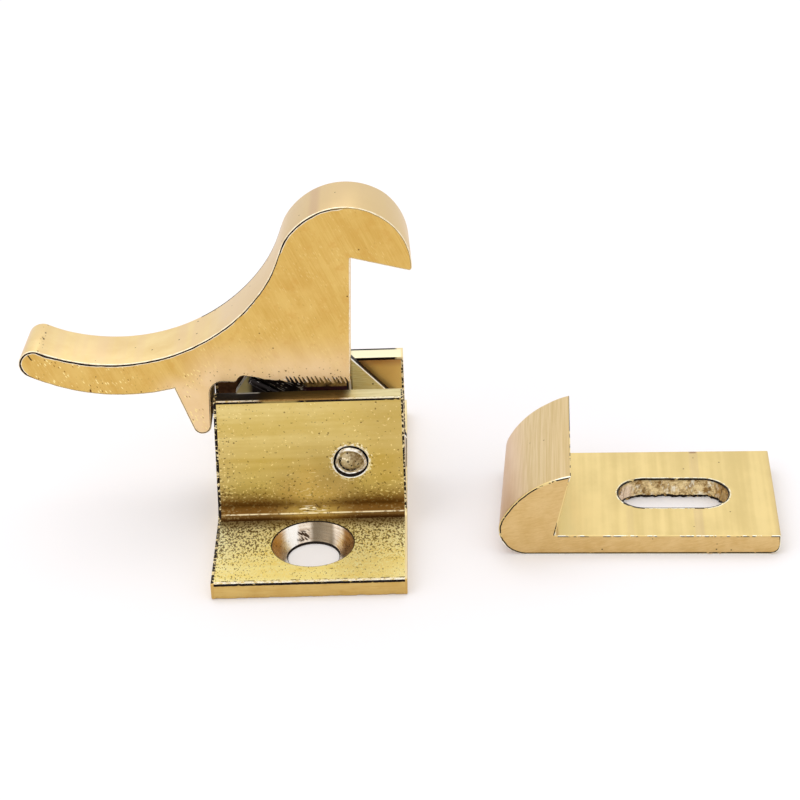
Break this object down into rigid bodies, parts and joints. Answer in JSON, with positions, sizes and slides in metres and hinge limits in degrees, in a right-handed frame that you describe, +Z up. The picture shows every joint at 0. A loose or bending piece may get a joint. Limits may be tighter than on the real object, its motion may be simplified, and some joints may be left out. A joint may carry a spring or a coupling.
{
  "type": "door bolt",
  "caption": "Sprung elbow catch: a long curved lever with a hook, pinned in an extruded channel bracket, and its separate strike plate with a leaning lip and a slot.",
  "frame": {"origin": "middle of the bracket's flat underside", "axes": "+X along the bracket's extrusion, from the lever's arm towards the hook and the strike; +Y towards the back foot; +Z up, away from the surface it is screwed to"},
  "size_m": [0.0751, 0.0348, 0.0346],
  "materials": {
    "bracket_brass": "satin, drawn",
    "lever_brass": "sawn faces, satin edges",
    "pin_brass": "riveted, dull",
    "spring_steel": "dark drawn wire",
    "strike_brass": "satin, drawn"
  },
  "bodies": {
    "bracket": {"bracket": "bracket_brass", "pivot_pin": "pin_brass", "torsion_spring": "spring_steel", "strike": "strike_brass"},
    "lever": {"lever": "lever_brass"}
  },
  "joints": [
    {"name": "lever_pivot", "type": "hinge", "parent": "bracket", "child": "lever", "pos_m": [0.0041, 0, 0.0078], "axis": [0, -1, 0], "range_deg": [0, 28], "stiffness_Nm_per_rad": 0.1, "springref_deg": -45.84, "deforming": ["torsion_spring"]}
  ]
}
